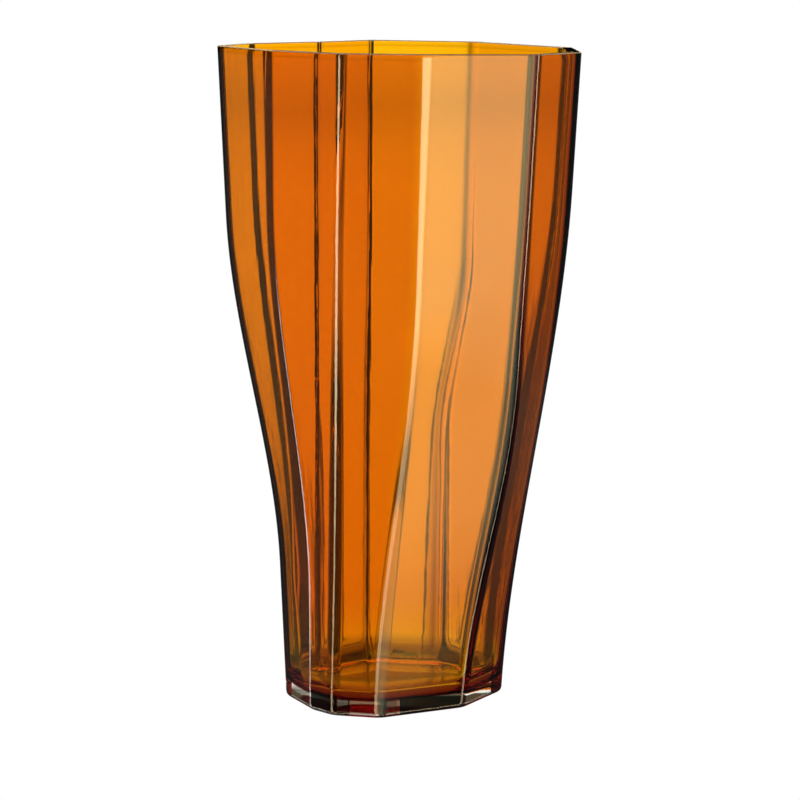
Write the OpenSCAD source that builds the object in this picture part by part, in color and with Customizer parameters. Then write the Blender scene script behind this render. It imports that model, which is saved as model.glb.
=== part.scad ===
// Hand blown art glass vase. An amber lining is cased in clear glass and was blown into a mould
// with eleven upright creases, so the flat panels between them widen from a narrow foot to a wide mouth.
// Millimetres, +Z up. The origin is the centre of the underside, below the middle of the mouth.
// The front of the vase faces -Y.

/* [Overall size] */
// Height from the underside to the lip
height = 300; // [200:5:400]
// Width across the mouth, left to right
mouth_w = 163; // [120:1:200]
// Width across the foot, left to right
foot_w = 100; // [90:1:120]

/* [Glass thickness] */
// Whole wall, if a panel had its full share. The panels differ, as in any blown vase.
wall_t = 6; // [5.5:0.5:7]
// Amber lining in the wall, if a panel had its full share
lining_t = 1.6; // [1.4:0.1:1.8]
// Share of the lining that is left where the wall meets the floor
thin_share = 0.3; // [0.3:0.1:1]
// Height below which the lining thins out
thin_height = 40; // [20:5:60]
// Clear glass under the lining, at the foot
base_t = 6; // [5:0.5:10]
// Amber glass on the floor
floor_t = 0.7; // [0.5:0.1:1.5]

/* [Edges] */
// Scale of the rounding of the creases
softness = 1; // [0.7:0.1:1.2]
// Radius between the wall and the underside
foot_round = 3; // [1:0.5:5]
// Radius between the wall and the floor where the two glasses are fused
joint_round = 9; // [7:1:9]
// Radius between the wall and the floor of the lining
well_round = 10; // [10:1:12]
// Radius of the polished lip, on both of its edges
lip_round = 0.6; // [0.3:0.1:0.6]

/* [Mesh] */
// Straight steps round each crease
crease_steps = 3; // [2:1:6]
// Rings up the wall
wall_rings = 24; // [16:1:32]
// Steps round each edge
edge_steps = 4; // [2:1:6]

/* [Hidden] */
clear_colour = [0.93, 0.95, 0.95, 0.35];
amber_colour = [0.80, 0.38, 0.02, 0.80];

// One row for each crease, anticlockwise from above, starting at the front left of centre:
// [mouth x, mouth y, foot x, foot y, flare start, flare end, drift].
// Places are parts of half the width there. The flare runs between two parts of the height,
// and drift is the share of the move from foot to mouth that is spread over the whole height.
MOUTH_X = 0;
MOUTH_Y = 1;
FOOT_X = 2;
FOOT_Y = 3;
FLARE_START = 4;
FLARE_END = 5;
DRIFT = 6;
CREASES = [
    [-0.30, -0.82, -0.59, -0.95, 0.20, 0.80, 1.00],
    [ 0.17, -0.94, -0.14, -1.06, 0.00, 0.67, 0.50],
    [ 0.75, -0.96,  0.64, -0.66, 0.00, 0.52, 0.50],
    [ 1.00, -0.66,  0.99, -0.05, 0.00, 0.80, 0.50],
    [ 0.98, -0.06,  0.89,  0.44, 0.10, 0.80, 0.50],
    [ 0.47,  0.72,  0.40,  0.86, 0.38, 0.66, 0.40],
    [-0.15,  0.97, -0.29,  0.92, 0.20, 0.80, 0.50],
    [-0.45,  0.71, -0.73,  0.60, 0.20, 0.80, 0.50],
    [-0.85,  0.49, -0.97,  0.28, 0.20, 0.80, 0.45],
    [-1.01,  0.19, -1.02, -0.22, 0.21, 0.74, 0.43],
    [-0.67, -0.44, -0.78, -0.74, 0.17, 0.77, 0.00],
];
CREASE_COUNT = len(CREASES);

// How far the rounding of each crease reaches along its two panels:
// [outside, inside at the lip, inside at the foot]
SOFT_OUT = 0;
SOFT_LIP = 1;
SOFT_FOOT = 2;
REACHES = [
    [3.0, 3, 3],
    [3.2, 2, 3],
    [3.6, 2, 3],
    [2.0, 4, 8],
    [2.0, 4, 6],
    [3.0, 5, 8],
    [1.2, 2, 2],
    [1.6, 2, 3],
    [1.4, 2, 3],
    [2.0, 3, 4],
    [1.2, 1, 1.5],
];
// Most of an edge's length that one crease's rounding may take
SOFT_SHARE = 0.46;
// Where a crease is flatter than this, as 1 - cos of its turn, its two insets blend
LEAST_TURN = 0.01;

// Glass in the panel that follows each crease, as shares of wall_t and of lining_t:
// [wall at the lip, wall at the foot, amber at the lip, amber at the foot]
WALL_LIP = 0;
WALL_FOOT = 1;
AMBER_LIP = 2;
AMBER_FOOT = 3;
PANELS = [
    [0.88, 0.83, 0.95, 1.00],
    [0.92, 0.96, 0.45, 0.60],
    [0.95, 0.95, 0.80, 0.80],
    [0.75, 0.75, 0.90, 0.90],
    [0.50, 0.50, 0.85, 0.85],
    [0.55, 0.55, 0.70, 0.85],
    [0.50, 0.50, 0.88, 0.80],
    [0.50, 0.50, 0.88, 0.80],
    [0.50, 0.50, 0.65, 0.65],
    [0.33, 0.33, 0.60, 0.60],
    [0.83, 0.78, 0.90, 0.95],
];

// The three faces of the glass
OUTSIDE = 0;
JOINT = 1;
INSIDE = 2;

ring_points = CREASE_COUNT * (crease_steps + 1);

function smooth(t) = t * t * (3 - 2 * t);
function clamp(t) = min(1, max(0, t));
function mix(a, b, t) = a + (b - a) * t;

// Share of the way from foot to mouth that a crease has gone at the height share h
function flare(row, h) =
    mix(smooth(clamp((h - row[FLARE_START]) / (row[FLARE_END] - row[FLARE_START]))), h, row[DRIFT]);

// Sharp corner of the section, for crease k at the height z
function corner(k, z) =
    let (row = CREASES[k % CREASE_COUNT], s = flare(row, z / height))
    [
        mix(row[FOOT_X] * foot_w / 2, row[MOUTH_X] * mouth_w / 2, s),
        mix(row[FOOT_Y] * foot_w / 2, row[MOUTH_Y] * mouth_w / 2, s)
    ];

// Thickness of the wall and of its lining, in the panel after crease k
function wall_at(k, z) =
    let (row = PANELS[k % CREASE_COUNT])
    wall_t * mix(row[WALL_FOOT], row[WALL_LIP], z / height);
function thinning(z) = mix(thin_share, 1, smooth(clamp(z / thin_height)));
function amber_at(k, z) =
    let (row = PANELS[k % CREASE_COUNT])
    lining_t * thinning(z) * mix(row[AMBER_FOOT], row[AMBER_LIP], z / height);

// How far a face lies in from the outside, in the panel after crease k
function depth(k, z, face) =
    face == OUTSIDE ? 0 :
    face == INSIDE ? wall_at(k, z) :
    wall_at(k, z) - amber_at(k, z);

function unit(v) = v / norm(v);
function outward(a, b) = let (d = unit(b - a)) [d.y, -d.x];

// Corner k of a face. Each of its two edges has moved in by its own depth and by extra.
function face_corner(k, z, face, extra) =
    let (
        p = corner(k + CREASE_COUNT - 1, z),
        q = corner(k, z),
        r = corner(k + 1, z),
        m = outward(p, q),
        n = outward(q, r),
        before = depth(k + CREASE_COUNT - 1, z, face) + extra,
        after = depth(k, z, face) + extra,
        both = (before + after) / 2 * (m + n) / (1 + m * n),
        along = (before - after) / 2 * (m - n) / max(1 - m * n, LEAST_TURN)
    )
    q - both - along;

// Reach of the rounding of crease k on a face
function reach_at(k, z, face) =
    let (
        row = REACHES[k],
        inside = mix(row[SOFT_FOOT], row[SOFT_LIP], z / height)
    )
    softness * mix(row[SOFT_OUT], inside, face / INSIDE);

// One closed section of a face
function ring(z, face, extra) = [
    for (k = [0 : CREASE_COUNT - 1])
        let (
            p = face_corner(k + CREASE_COUNT - 1, z, face, extra),
            q = face_corner(k, z, face, extra),
            r = face_corner(k + 1, z, face, extra),
            reach = min(reach_at(k, z, face), SOFT_SHARE * norm(q - p), SOFT_SHARE * norm(r - q)),
            a = q + reach * unit(p - q),
            b = q + reach * unit(r - q)
        )
        for (i = [0 : crease_steps])
            let (t = i / crease_steps, xy = pow(1 - t, 2) * a + 2 * t * (1 - t) * q + t * t * b)
            [xy.x, xy.y, z]
];

// A run of rings up the wall, from the height low to the height high
function wall(low, high, face) = [
    for (i = [0 : wall_rings]) ring(mix(low, high, i / wall_rings), face, 0)
];

// A quarter round from the level face at z to the wall. It runs in by run from the wall and up
// by rise from the level face, and either may be negative.
function quarter(z, face, run, rise) = [
    for (i = [0 : edge_steps - 1])
        let (a = 90 * i / edge_steps)
        ring(z + rise * (1 - cos(a)), face, run * (1 - sin(a)))
];

function backwards(list) = [for (i = [len(list) - 1 : -1 : 0]) list[i]];

floor_z = base_t + floor_t;

// Outer face of the casing, from the underside to the lip
outer_face = concat(
    quarter(0, OUTSIDE, foot_round, foot_round),
    wall(foot_round, height - lip_round, OUTSIDE),
    backwards(quarter(height, OUTSIDE, lip_round, -lip_round))
);
// Face where the two glasses are fused, from the floor to the lip
joint_face = concat(
    quarter(base_t, JOINT, joint_round, joint_round),
    wall(base_t + joint_round, height, JOINT)
);
// Inner face of the lining, from the floor to the lip
inner_face = concat(
    quarter(floor_z, INSIDE, well_round, well_round),
    wall(floor_z + well_round, height - lip_round, INSIDE),
    backwards(quarter(height, INSIDE, -lip_round, -lip_round))
);

// Triangles between ring j and the next ring of a list of rings
function band(j) = [
    for (i = [0 : ring_points - 1])
        let (
            a = j * ring_points + i,
            b = j * ring_points + (i + 1) % ring_points,
            c = b + ring_points,
            d = a + ring_points
        )
        each [[a, c, b], [a, d, c]]
];

// A closed shell between an outer and an inner run of rings. Both runs go from the floor up.
module shell(outer, inner) {
    rings = concat(outer, backwards(inner));
    last = len(rings) - 1;
    points = [for (r = rings) each r];
    under = [for (i = [0 : ring_points - 1]) i];
    over = [for (i = [ring_points - 1 : -1 : 0]) last * ring_points + i];
    sides = [for (j = [0 : last - 1]) each band(j)];
    polyhedron(points = points, faces = concat([under], sides, [over]));
}

// Clear glass outside, thick under the lining
module clear_casing() {
    color(clear_colour)
        shell(outer_face, joint_face);
}

// Amber glass that lines the whole inside, fused to the casing
module amber_lining() {
    color(amber_colour)
        shell(joint_face, inner_face);
}

clear_casing();
amber_lining();
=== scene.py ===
"""Looks for the hand blown art glass vase: an amber lining cased in clear glass, in a white studio."""
import math

import bpy
import numpy as np
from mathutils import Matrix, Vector

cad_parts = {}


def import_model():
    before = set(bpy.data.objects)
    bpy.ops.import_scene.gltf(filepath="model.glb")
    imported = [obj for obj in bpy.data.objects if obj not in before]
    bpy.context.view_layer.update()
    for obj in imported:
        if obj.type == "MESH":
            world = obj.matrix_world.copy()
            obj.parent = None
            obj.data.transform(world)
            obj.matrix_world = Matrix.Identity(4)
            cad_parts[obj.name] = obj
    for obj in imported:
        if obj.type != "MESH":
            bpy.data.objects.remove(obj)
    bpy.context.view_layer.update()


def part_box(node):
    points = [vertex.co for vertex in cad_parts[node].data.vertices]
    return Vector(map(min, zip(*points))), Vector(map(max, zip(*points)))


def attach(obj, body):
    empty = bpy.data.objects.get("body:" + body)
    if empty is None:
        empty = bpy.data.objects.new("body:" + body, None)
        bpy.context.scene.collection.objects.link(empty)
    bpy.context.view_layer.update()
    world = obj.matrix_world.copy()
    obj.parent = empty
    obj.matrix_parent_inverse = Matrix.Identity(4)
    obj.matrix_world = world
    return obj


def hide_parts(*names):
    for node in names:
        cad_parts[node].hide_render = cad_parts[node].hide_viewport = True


MM = 0.001

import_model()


# ---------------------------------------------------------------- sizes

CASING_LOW, CASING_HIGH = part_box("clear_casing")
HEIGHT = CASING_HIGH.z - CASING_LOW.z
# Across the mouth and the foot, in the CAD source's proportions
MOUTH_W = HEIGHT * 163 / 300
FOOT_W = HEIGHT * 100 / 300

# The whole wall and its amber lining, where a panel has its full share
WALL_T = 6 * MM
LINING_T = 1.6 * MM
# The clear glass under the lining, and the amber on the floor
BASE_T = 6 * MM
FLOOR_T = 0.7 * MM
# The amber thins out towards the floor
THIN_SHARE = 0.3
THIN_HEIGHT = 40 * MM
# The two glasses are fused: their meshes stop this far from each other
FUSED_GAP = 0.02 * MM

FOOT_ROUND = 3 * MM
WELL_ROUND = 10 * MM
JOINT_ROUND = 9 * MM
LIP_ROUND = 0.6 * MM

# Steps round a crease and across a panel, and rings up the wall, round an edge and over a level face
ARC_STEPS = 10
PANEL_STEPS = 8
WALL_RINGS = 110
EDGE_RINGS = 8
CAP_RINGS = 6
# Most of a panel's width that one crease's rounding may take
SOFT_SHARE = 0.46
# Where a crease is flatter than this, as 1 - cos of its turn, its two insets blend
LEAST_TURN = 0.01

# One row for each crease, anticlockwise from above, as in the CAD source:
# mouth x, mouth y, foot x, foot y (parts of half the width), flare start, flare end, drift,
# how far the rounding reaches in mm outside, inside at the lip and inside at the foot,
# and for the panel that follows, the wall's and the amber's shares of their full thickness, each
# at the lip and at the foot.
CREASES = np.array([
    [-0.30, -0.82, -0.59, -0.95, 0.20, 0.80, 1.00, 3.0, 3, 3, 0.88, 0.83, 0.95, 1.00],
    [+0.17, -0.94, -0.14, -1.06, 0.00, 0.67, 0.50, 3.2, 2, 3, 0.92, 0.96, 0.45, 0.60],
    [+0.75, -0.96, +0.64, -0.66, 0.00, 0.52, 0.50, 3.6, 2, 3, 0.95, 0.95, 0.80, 0.80],
    [+1.00, -0.66, +0.99, -0.05, 0.00, 0.80, 0.50, 2.0, 4, 8, 0.75, 0.75, 0.90, 0.90],
    [+0.98, -0.06, +0.89, +0.44, 0.10, 0.80, 0.50, 2.0, 4, 6, 0.50, 0.50, 0.85, 0.85],
    [+0.47, +0.72, +0.40, +0.86, 0.38, 0.66, 0.40, 3.0, 5, 8, 0.55, 0.55, 0.70, 0.85],
    [-0.15, +0.97, -0.29, +0.92, 0.20, 0.80, 0.50, 1.2, 2, 2, 0.50, 0.50, 0.88, 0.80],
    [-0.45, +0.71, -0.73, +0.60, 0.20, 0.80, 0.50, 1.6, 2, 3, 0.50, 0.50, 0.88, 0.80],
    [-0.85, +0.49, -0.97, +0.28, 0.20, 0.80, 0.45, 1.4, 2, 3, 0.50, 0.50, 0.65, 0.65],
    [-1.01, +0.19, -1.02, -0.22, 0.21, 0.74, 0.43, 2.0, 3, 4, 0.33, 0.33, 0.60, 0.60],
    [-0.67, -0.44, -0.78, -0.74, 0.17, 0.77, 0.00, 1.2, 1, 1.5, 0.83, 0.78, 0.90, 0.95],
])
MOUTH_XY, FOOT_XY = CREASES[:, 0:2], CREASES[:, 2:4]
FLARE_START, FLARE_END, DRIFT = CREASES[:, 4:7].T
SOFT_OUT, SOFT_LIP, SOFT_FOOT = (CREASES[:, 7:10] * MM).T
WALL_LIP, WALL_FOOT, AMBER_LIP, AMBER_FOOT = CREASES[:, 10:14].T

# Creases that carry a seam of the mould, how far it stands out, and its profile across the crease
SEAMS = {6: 0.13 * MM, 7: 1.0 * MM}
SEAM_PROFILE = (0.35, 0.8, 1.0, 0.8, 0.35)
# The seam's unevenness: three waves, in radians per mm, about a mean share of its full height
SEAM_WAVES = (1.9, 0.73, 0.31)
SEAM_MEAN = 0.55
SEAM_SWING = 0.15

# The layers of the glass, from outside in, and the two copies of the fused face
OUTSIDE, FUSED, INSIDE = 0, 1, 2
CASING_SIDE, LINING_SIDE = -1, 1


# ---------------------------------------------------------------- shape

def smooth(t):
    return t * t * (3 - 2 * t)


def corners(z):
    """The sharp corners of the section at height z, in metres."""
    h = z / HEIGHT
    t = np.clip((h - FLARE_START) / (FLARE_END - FLARE_START), 0, 1)
    s = (1 - DRIFT) * smooth(t) + DRIFT * h
    foot = FOOT_XY * FOOT_W / 2
    mouth = MOUTH_XY * MOUTH_W / 2
    return foot + (mouth - foot) * s[:, None]


def unit_rows(v):
    return v / np.linalg.norm(v, axis=1)[:, None]


def moved_in(points, insets):
    """The corners after each edge has moved in by its own inset."""
    edge = unit_rows(np.roll(points, -1, 0) - points)
    after = np.stack([edge[:, 1], -edge[:, 0]], 1)
    before = np.roll(after, 1, 0)
    cos = np.sum(before * after, 1)
    mean = (np.roll(insets, 1) + insets) / 2
    step = (np.roll(insets, 1) - insets) / 2
    both = (mean / (1 + cos))[:, None] * (before + after)
    along = (step / np.maximum(1 - cos, LEAST_TURN))[:, None] * (before - after)
    return points - both - along


def seam_height(z, k):
    """How far the seam on crease k stands out at height z: uneven, like the joint of a worn mould."""
    swing = sum(math.sin(wave * z / MM + (i + 1) * k) for i, wave in enumerate(SEAM_WAVES))
    return SEAMS[k] * (SEAM_MEAN + SEAM_SWING * swing)


def ring(z, inset, layer):
    """One closed section at height z: rounded creases with flat panels between them."""
    inside = SOFT_FOOT + (SOFT_LIP - SOFT_FOOT) * z / HEIGHT
    soft = SOFT_OUT + (inside - SOFT_OUT) * layer / INSIDE
    q = moved_in(corners(z), inset)
    ahead = np.roll(q, -1, 0) - q
    length = np.linalg.norm(ahead, axis=1)
    ahead = ahead / length[:, None]
    behind = -np.roll(ahead, 1, 0)
    reach = np.minimum(soft, SOFT_SHARE * np.minimum(length, np.roll(length, 1)))[:, None]
    a, b = q + reach * behind, q + reach * ahead
    rows = []
    for i in range(ARC_STEPS + 1):
        t = i / ARC_STEPS
        rows.append((1 - t) ** 2 * a + 2 * t * (1 - t) * q + t * t * b)
    if layer == OUTSIDE:
        first = ARC_STEPS // 2 - len(SEAM_PROFILE) // 2
        for k in SEAMS:
            out = -unit_rows((ahead + behind)[k:k + 1])[0]
            for i, share in enumerate(SEAM_PROFILE):
                rows[first + i][k] += share * seam_height(z, k) * out
    next_a = np.roll(a, -1, 0)
    for i in range(1, PANEL_STEPS):
        t = 0.5 - 0.5 * math.cos(math.pi * i / PANEL_STEPS)
        rows.append(b + (next_a - b) * t)
    flat = np.stack(rows, 1).reshape(-1, 2)
    return np.column_stack([flat, np.full(len(flat), z)])


def amber_t(z):
    """The lining's thickness in each panel at height z."""
    thin = THIN_SHARE + (1 - THIN_SHARE) * smooth(min(1, z / THIN_HEIGHT))
    return LINING_T * thin * (AMBER_FOOT + (AMBER_LIP - AMBER_FOOT) * z / HEIGHT)


def depth(z, layer, side=0):
    """How far a layer's face lies inside the outside face at height z, in each panel."""
    if layer == OUTSIDE:
        return np.zeros(len(CREASES))
    wall_t = WALL_T * (WALL_FOOT + (WALL_LIP - WALL_FOOT) * z / HEIGHT)
    return (wall_t if layer == INSIDE else wall_t - amber_t(z)) + side * FUSED_GAP / 2


def wall(low, high, layer, side=0):
    """Rings up the wall, from the height low to the height high."""
    rows = []
    for i in range(WALL_RINGS + 1):
        z = low + (high - low) * i / WALL_RINGS
        rows.append(ring(z, depth(z, layer, side), layer))
    return rows


def quarter(level, run, rise, layer, side=0):
    """A quarter round from a level face to the wall."""
    rows = []
    for i in range(EDGE_RINGS):
        a = 0.5 * math.pi * i / EDGE_RINGS
        z = level + rise * (1 - math.cos(a))
        rows.append(ring(z, depth(z, layer, side) + run * (1 - math.sin(a)), layer))
    return rows


def cap(edge):
    """Rings that close a level face, from near its middle out to the ring edge."""
    middle = edge.mean(0)
    return [middle + (edge - middle) * (i / CAP_RINGS) for i in range(1, CAP_RINGS)]


def outer_face():
    foot = quarter(0, FOOT_ROUND, FOOT_ROUND, OUTSIDE)
    lip = quarter(HEIGHT, LIP_ROUND, -LIP_ROUND, OUTSIDE)
    return cap(foot[0]) + foot + wall(FOOT_ROUND, HEIGHT - LIP_ROUND, OUTSIDE) + lip[::-1]


def joint_face(side):
    """One side's copy of the fused face."""
    z = BASE_T + side * FUSED_GAP / 2
    well = quarter(z, JOINT_ROUND, JOINT_ROUND, FUSED, side)
    return cap(well[0]) + well + wall(z + JOINT_ROUND, HEIGHT, FUSED, side)


def inner_face():
    z = BASE_T + FLOOR_T
    well = quarter(z, WELL_ROUND, WELL_ROUND, INSIDE)
    lip = quarter(HEIGHT, -LIP_ROUND, -LIP_ROUND, INSIDE)
    return cap(well[0]) + well + wall(z + WELL_ROUND, HEIGHT - LIP_ROUND, INSIDE) + lip[::-1]


def new_object(name, data):
    piece = bpy.data.objects.new(name, data)
    bpy.context.scene.collection.objects.link(piece)
    return piece


def shell(name, outer, inner, outer_is_fused):
    """A closed shell from two runs of rings, both from the floor up, with its fused faces marked."""
    rings = outer + inner[::-1]
    count = len(rings[0])
    points = np.vstack(rings + [rings[0].mean(0)[None], rings[-1].mean(0)[None]])
    first, last = len(points) - 2, len(points) - 1
    faces, fused = [], []
    for i in range(count):
        faces.append((first, (i + 1) % count, i))
        fused.append(float(outer_is_fused))
    for j in range(len(rings) - 1):
        # The band between the two runs is the lip, which is polished on both glasses
        in_lip = j == len(outer) - 1
        in_outer = j < len(outer) - 1
        for i in range(count):
            k = (i + 1) % count
            faces.append((j * count + i, j * count + k, (j + 1) * count + k, (j + 1) * count + i))
            fused.append(float(not in_lip and in_outer == outer_is_fused))
    top = (len(rings) - 1) * count
    for i in range(count):
        faces.append((last, top + i, top + (i + 1) % count))
        fused.append(float(not outer_is_fused))
    mesh = bpy.data.meshes.new(name)
    mesh.from_pydata([tuple(p) for p in points], [], faces)
    mesh.polygons.foreach_set("use_smooth", [True] * len(faces))
    mark = mesh.attributes.new("fused", "FLOAT", "FACE")
    mark.data.foreach_set("value", fused)
    mesh.validate()
    mesh.update()
    return new_object(name, mesh)


# ---------------------------------------------------------------- materials

GLASS_IOR = 1.5
# Where the two glasses are fused there is nothing to bend the light
FUSED_IOR = 1.0
# What the amber lets through, and how strongly
AMBER = (0.96, 0.861, 0, 1)
AMBER_DENSITY = 5000

# The surface that a mould leaves on blown glass: streaks drawn up the wall, and a fainter ripple
STREAK_SCALE = 190
STREAK_DETAIL = 3
STREAK_STRETCH = 0.045
STREAK_SHARE = 0.6
RIPPLE_SCALE = 45
RIPPLE_DETAIL = 1
SURFACE_DEPTH = 0.03 * MM


def calc(nodes, links, operation, *values):
    """A Math node's result. Each value is a number or another node's output."""
    node = nodes.new("ShaderNodeMath")
    node.operation = operation
    for value, socket in zip(values, node.inputs):
        if isinstance(value, (int, float)):
            socket.default_value = value
        else:
            links.new(value, socket)
    return node.outputs[0]


def noise(nodes, links, place, scale, detail):
    node = nodes.new("ShaderNodeTexNoise")
    node.inputs["Scale"].default_value = scale
    node.inputs["Detail"].default_value = detail
    links.new(place, node.inputs["Vector"])
    return node.outputs["Fac"]


def uneven_surface(nodes, links):
    """The normal of a surface with the mould's streaks and ripple."""
    place = nodes.new("ShaderNodeTexCoord").outputs["Object"]
    stretch = nodes.new("ShaderNodeMapping")
    stretch.inputs["Scale"].default_value = (1, 1, STREAK_STRETCH)
    links.new(place, stretch.inputs["Vector"])
    streaks = noise(nodes, links, stretch.outputs["Vector"], STREAK_SCALE, STREAK_DETAIL)
    ripple = noise(nodes, links, place, RIPPLE_SCALE, RIPPLE_DETAIL)
    bump = nodes.new("ShaderNodeBump")
    bump.inputs["Strength"].default_value = 1
    bump.inputs["Distance"].default_value = SURFACE_DEPTH
    height = calc(nodes, links, "MULTIPLY_ADD", streaks, STREAK_SHARE, ripple)
    links.new(height, bump.inputs["Height"])
    return bump.outputs["Normal"]


def smooth_glass(nodes, ior):
    """A colourless glass shader."""
    node = nodes.new("ShaderNodeBsdfPrincipled")
    node.inputs["Base Color"].default_value = (1, 1, 1, 1)
    node.inputs["Transmission Weight"].default_value = 1
    node.inputs["Roughness"].default_value = 0
    node.inputs["IOR"].default_value = ior
    return node


def glass(name):
    """Polished glass where the face meets air, and nothing to see where the two glasses are fused."""
    material = bpy.data.materials.new(name)
    material.use_nodes = True
    nodes, links = material.node_tree.nodes, material.node_tree.links
    nodes.clear()
    polished = smooth_glass(nodes, GLASS_IOR)
    links.new(uneven_surface(nodes, links), polished.inputs["Normal"])
    joined = smooth_glass(nodes, FUSED_IOR)
    mark = nodes.new("ShaderNodeAttribute")
    mark.attribute_name = "fused"
    pick = nodes.new("ShaderNodeMixShader")
    links.new(mark.outputs["Fac"], pick.inputs["Fac"])
    links.new(polished.outputs[0], pick.inputs[1])
    links.new(joined.outputs[0], pick.inputs[2])
    out = nodes.new("ShaderNodeOutputMaterial")
    links.new(pick.outputs[0], out.inputs["Surface"])
    return material


def amber_glass():
    """The same glass, with a colour that deepens with its thickness."""
    material = glass("amber_glass")
    nodes, links = material.node_tree.nodes, material.node_tree.links
    tint = nodes.new("ShaderNodeVolumeAbsorption")
    tint.inputs["Color"].default_value = AMBER
    tint.inputs["Density"].default_value = AMBER_DENSITY
    links.new(tint.outputs[0], nodes["Material Output"].inputs["Volume"])
    return material


# ---------------------------------------------------------------- stage

# A long lens a little above the middle of the vase, looking slightly down
LENS = 143.45
SENSOR_W = 36
FAR_CLIP = 100
EYE = Vector((0.00195, -1.4537, 0.363))
AIM = Vector((0.00195, -0.0037, 0.13844))

WHITE = (1, 1, 1)
FLOOR_HALF = 3.0
FLOOR_Z = -0.2 * MM
# A painted shadow: the patch of floor under the vase, which only gets light through the amber, glows in
# this fixed dark amber-brown
SHADOW = (0.26, 0.17, 0.10)
SHADOW_Z = -0.1 * MM


def camera():
    data = bpy.data.cameras.new("camera")
    data.lens = LENS
    data.sensor_width = SENSOR_W
    data.clip_end = FAR_CLIP
    cam = new_object("camera", data)
    cam.location = EYE
    cam.rotation_euler = (AIM - EYE).to_track_quat("-Z", "Y").to_euler()
    bpy.context.scene.camera = cam


def glowing_face(name, outline, colour):
    """A flat face that glows in one colour."""
    mesh = bpy.data.meshes.new(name)
    mesh.from_pydata([tuple(p) for p in outline], [], [tuple(range(len(outline)))])
    material = bpy.data.materials.new(name)
    material.use_nodes = True
    nodes, links = material.node_tree.nodes, material.node_tree.links
    nodes.clear()
    glow = nodes.new("ShaderNodeEmission")
    glow.inputs["Color"].default_value = (*colour, 1)
    out = nodes.new("ShaderNodeOutputMaterial")
    links.new(glow.outputs[0], out.inputs["Surface"])
    mesh.materials.append(material)
    return new_object(name, mesh)


def floor():
    """The white floor. Only the camera sees it: the glass shows the studio's lights instead."""
    s, z = FLOOR_HALF, FLOOR_Z
    piece = glowing_face("floor", [(-s, -s, z), (s, -s, z), (s, s, z), (-s, s, z)], WHITE)
    piece.visible_glossy = False
    piece.visible_transmission = False


def shadow():
    """The patch of floor that the vase covers, glowing as a painted amber shadow."""
    outline = ring(0, depth(0, OUTSIDE) + FOOT_ROUND, OUTSIDE)
    outline[:, 2] = SHADOW_Z
    piece = glowing_face("shadow", outline, SHADOW)


# ---------------------------------------------------------------- light

# The lights round the studio, as pairs of an angle in degrees and a brightness or colour there.
# Azimuth is measured from straight behind the vase, positive to the right, and elevation is
# measured from the horizon, positive above it.
BRIGHTEST = 12.0
# The most that an elevation may multiply a brightness by
MOST_GAIN = 2
# The most that a dimming holds
WHOLE = 1

DARK = (0.05, 0.08, 0.08)
STRIP = (12.0, 9.8, 5.6)
EDGE = (9.0, 7.0, 4.5)
# The soft box fades out on its right in four steps
SOFTBOX = (3.2, 3.5, 2.1)
SOFTBOX_SIDE = (2.4, 2.7, 1.7)
SOFTBOX_FADE = (1.5, 1.7, 1.3)
SOFTBOX_DIM = (0.9, 0.9, 0.7)
SOFTBOX_END = (0.9, 0.8, 0.6)
OVERHEAD_RIM = (2.6, 1.9, 0.9)
OVERHEAD = (2.6, 2.2, 1.6)
TABLE = (0.17, 0.12, 0.07)
SHADE = (0.04, 0.06, 0.05)
LOW_SHADE = (0.18, 0.2, 0.2)
ROOM = (0.52, 0.55, 0.5)
FAR_ROOM = (0.85, 0.9, 0.82)
ROOM_LOW = (1, 1.15, 1.05)
BACKLIGHT_RED = 1.22


def warm(brightness):
    return (BACKLIGHT_RED * brightness, brightness, brightness)


# The narrow backlight, seen through the glass
BACKLIGHT_AZ = [(-180, 0), (-31, 0), (-29, SHADE), (-4.6, SHADE), (-3.8, warm(1.5)),
                (-2.5, warm(1.28)), (-2.1, warm(1.12)), (-1.4, warm(1.24)), (-0.3, warm(1.24)),
                (0.7, warm(1.08)), (2.6, warm(1.08)), (3.8, warm(1.1)), (5, warm(0.95)),
                (8, warm(0.3)), (10, SHADE), (29, SHADE), (31, 0), (180, 0)]
BACKLIGHT_EL = [(-90, 0.9), (-60, 0.9), (-40, 0.15), (-25, 0.3), (-20, 0.5), (-15, 0.6),
                (-12, 0.95), (-7.5, 1), (-5, 1), (-4.2, 0.92), (-3.5, 0.76), (-2.8, 0.9),
                (-2.1, 1.12), (2, 1.12), (5, TABLE), (15, TABLE), (17, 1), (90, 1)]
# Its lower part tapers: half its width at the horizon, how much narrower that gets for each degree
# below, and the least that it narrows to. The dimming runs across it, in these half widths.
BACKLIGHT_HALF = 4.3
BACKLIGHT_TAPER = 0.25
BACKLIGHT_LEAST = 0.6
BACKLIGHT_SPAN = 4
BACKLIGHT_ACROSS = [(-4, 0.8), (-2.4, 0.8), (-2.0, LOW_SHADE), (-1.35, LOW_SHADE), (-1.02, 1),
                    (1.05, 1), (1.45, LOW_SHADE), (1.75, LOW_SHADE), (2.1, 0.85), (4, 0.85)]
# Above the tapered part there is no dimming
BACKLIGHT_ABOVE = [(-90, 0), (-9.5, 0), (-6.5, 1), (90, 1)]

# The room beyond it, seen through the glass
ROOM_AZ = [(-180, FAR_ROOM), (-75, FAR_ROOM), (-60, ROOM), (-31, ROOM), (-29, 0),
           (29, 0), (31, ROOM), (60, ROOM), (75, FAR_ROOM), (180, FAR_ROOM)]
ROOM_EL = [(-90, ROOM_LOW), (-12, ROOM_LOW), (-9, 1), (2, 1),
           (5, TABLE), (15, TABLE), (17, 2), (90, 2)]

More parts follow.
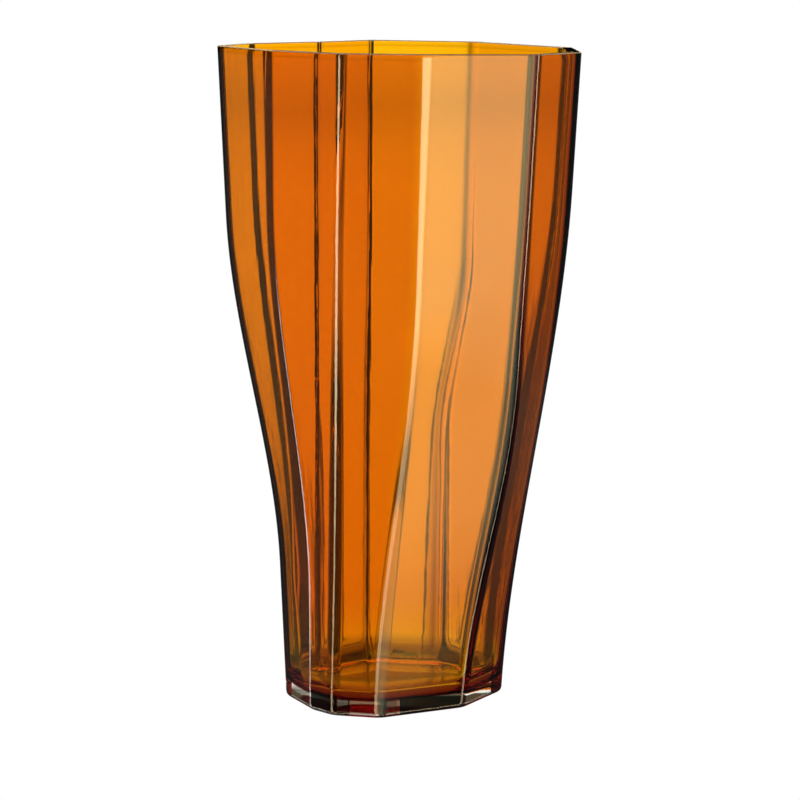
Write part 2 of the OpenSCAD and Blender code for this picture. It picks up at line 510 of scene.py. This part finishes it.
# Lights that only show as reflections in the glass
MIRRORED_AZ = [(-180, SOFTBOX), (-172, SOFTBOX), (-170, STRIP), (-157, STRIP), (-155, DARK),
               (-124, DARK), (-122, STRIP), (-114, STRIP), (-112, DARK), (104, DARK), (106, EDGE),
               (114, EDGE), (116, DARK), (124, DARK), (127, SOFTBOX_END), (134, SOFTBOX_DIM),
               (142, SOFTBOX_FADE), (152, SOFTBOX_SIDE), (161, SOFTBOX), (180, SOFTBOX)]
MIRRORED_EL = [(-90, 0.55), (-19, 0.55), (-14, 1), (-3.5, 1), (-1.5, 0.02), (90, 0.02)]
LOW_AZ = [(-180, 0), (-67, 0), (-65, 4), (-57, 4), (-55, 0), (180, 0)]
LOW_EL = [(-90, 1), (-12, 1), (-9, 0), (90, 0)]
OVERHEAD_EL = [(-90, 0), (8.5, 0), (11, OVERHEAD_RIM), (90, OVERHEAD)]


def ramp(nodes, links, place, half_span, stops, most):
    """The brightness or colour at an angle, in straight lines between the stops, as a share of
    most. The socket place runs from 0 at minus half_span to 1 at half_span."""
    node = nodes.new("ShaderNodeValToRGB")
    node.color_ramp.interpolation = "LINEAR"
    elements = node.color_ramp.elements
    while len(elements) > 1:
        elements.remove(elements[-1])
    for i, (angle, value) in enumerate(stops):
        at = 0.5 + 0.5 * angle / half_span
        element = elements[0] if i == 0 else elements.new(at)
        element.position = at
        colour = value if isinstance(value, tuple) else (value, value, value)
        element.color = (*[c / most for c in colour], 1)
    links.new(place, node.inputs["Fac"])
    return node.outputs["Color"]


def blend(nodes, links, kind, a, b):
    node = nodes.new("ShaderNodeMixRGB")
    node.blend_type = kind
    node.inputs["Fac"].default_value = 1
    links.new(a, node.inputs["Color1"])
    links.new(b, node.inputs["Color2"])
    return node.outputs["Color"]


def world():
    """The studio, by direction: plain white to the camera, the backlight and the room through the
    glass, and the other lights as reflections in it."""
    studio = bpy.data.worlds.new("studio")
    bpy.context.scene.world = studio
    studio.use_nodes = True
    nodes, links = studio.node_tree.nodes, studio.node_tree.links
    nodes.clear()

    def number(operation, *values):
        return calc(nodes, links, operation, *values)

    direction = nodes.new("ShaderNodeSeparateXYZ")
    links.new(nodes.new("ShaderNodeTexCoord").outputs["Generated"], direction.inputs[0])
    turn = number("ARCTAN2", direction.outputs["X"], direction.outputs["Y"])
    rise = number("ARCSINE", direction.outputs["Z"])
    azimuth = number("MULTIPLY_ADD", turn, 0.5 / math.pi, 0.5)
    elevation = number("MULTIPLY_ADD", rise, 1 / math.pi, 0.5)
    # The azimuth in half widths of the backlight at this elevation
    half_width = number("MULTIPLY_ADD", rise, BACKLIGHT_TAPER, math.radians(BACKLIGHT_HALF))
    half_width = number("MAXIMUM", half_width, math.radians(BACKLIGHT_LEAST))
    across = number("DIVIDE", turn, half_width)
    across = number("MULTIPLY_ADD", across, 0.5 / BACKLIGHT_SPAN, 0.5)

    def round_studio(stops):
        return ramp(nodes, links, azimuth, 180, stops, BRIGHTEST)

    def up_studio(stops, most):
        return ramp(nodes, links, elevation, 90, stops, most)

    def patch(az_stops, el_stops):
        return blend(nodes, links, "MULTIPLY", round_studio(az_stops), up_studio(el_stops, MOST_GAIN))

    dimming = blend(nodes, links, "LIGHTEN",
                    ramp(nodes, links, across, BACKLIGHT_SPAN, BACKLIGHT_ACROSS, WHOLE),
                    up_studio(BACKLIGHT_ABOVE, WHOLE))
    backlight = blend(nodes, links, "MULTIPLY", patch(BACKLIGHT_AZ, BACKLIGHT_EL), dimming)
    through = blend(nodes, links, "ADD", backlight, patch(ROOM_AZ, ROOM_EL))
    mirrored = blend(nodes, links, "ADD", patch(MIRRORED_AZ, MIRRORED_EL), patch(LOW_AZ, LOW_EL))
    mirrored = blend(nodes, links, "ADD", mirrored, up_studio(OVERHEAD_EL, MOST_GAIN * BRIGHTEST))
    rays = nodes.new("ShaderNodeLightPath")
    pick = nodes.new("ShaderNodeMixRGB")
    links.new(rays.outputs["Is Transmission Ray"], pick.inputs["Fac"])
    links.new(mirrored, pick.inputs["Color1"])
    links.new(through, pick.inputs["Color2"])
    glow = nodes.new("ShaderNodeBackground")
    glow.inputs["Strength"].default_value = MOST_GAIN * BRIGHTEST
    links.new(pick.outputs["Color"], glow.inputs["Color"])
    backdrop = nodes.new("ShaderNodeBackground")
    backdrop.inputs["Color"].default_value = (*WHITE, 1)
    seen = nodes.new("ShaderNodeMixShader")
    links.new(rays.outputs["Is Camera Ray"], seen.inputs["Fac"])
    links.new(glow.outputs[0], seen.inputs[1])
    links.new(backdrop.outputs[0], seen.inputs[2])
    out = nodes.new("ShaderNodeOutputWorld")
    links.new(seen.outputs[0], out.inputs["Surface"])


# A ray may cross many faces of glass before it leaves
GLASS_BOUNCES = 40
OTHER_BOUNCES = 16


def render_settings():
    scene = bpy.context.scene
    scene.view_settings.view_transform = "Standard"
    scene.cycles.max_bounces = GLASS_BOUNCES
    scene.cycles.transmission_bounces = GLASS_BOUNCES
    scene.cycles.glossy_bounces = OTHER_BOUNCES
    scene.cycles.transparent_max_bounces = OTHER_BOUNCES
    scene.cycles.sample_clamp_indirect = 0


# ---------------------------------------------------------------- the vase and its stage

casing = shell("clear_casing_glass", outer_face(), joint_face(CASING_SIDE), False)
lining = shell("amber_lining_glass", joint_face(LINING_SIDE), inner_face(), True)
casing.data.materials.append(glass("clear_glass"))
lining.data.materials.append(amber_glass())
for piece, node, slot in ((casing, "clear_casing", "clear_glass"), (lining, "amber_lining", "amber_glass")):
    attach(piece, "root")
    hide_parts(node)

camera()
floor()
shadow()
world()
render_settings()
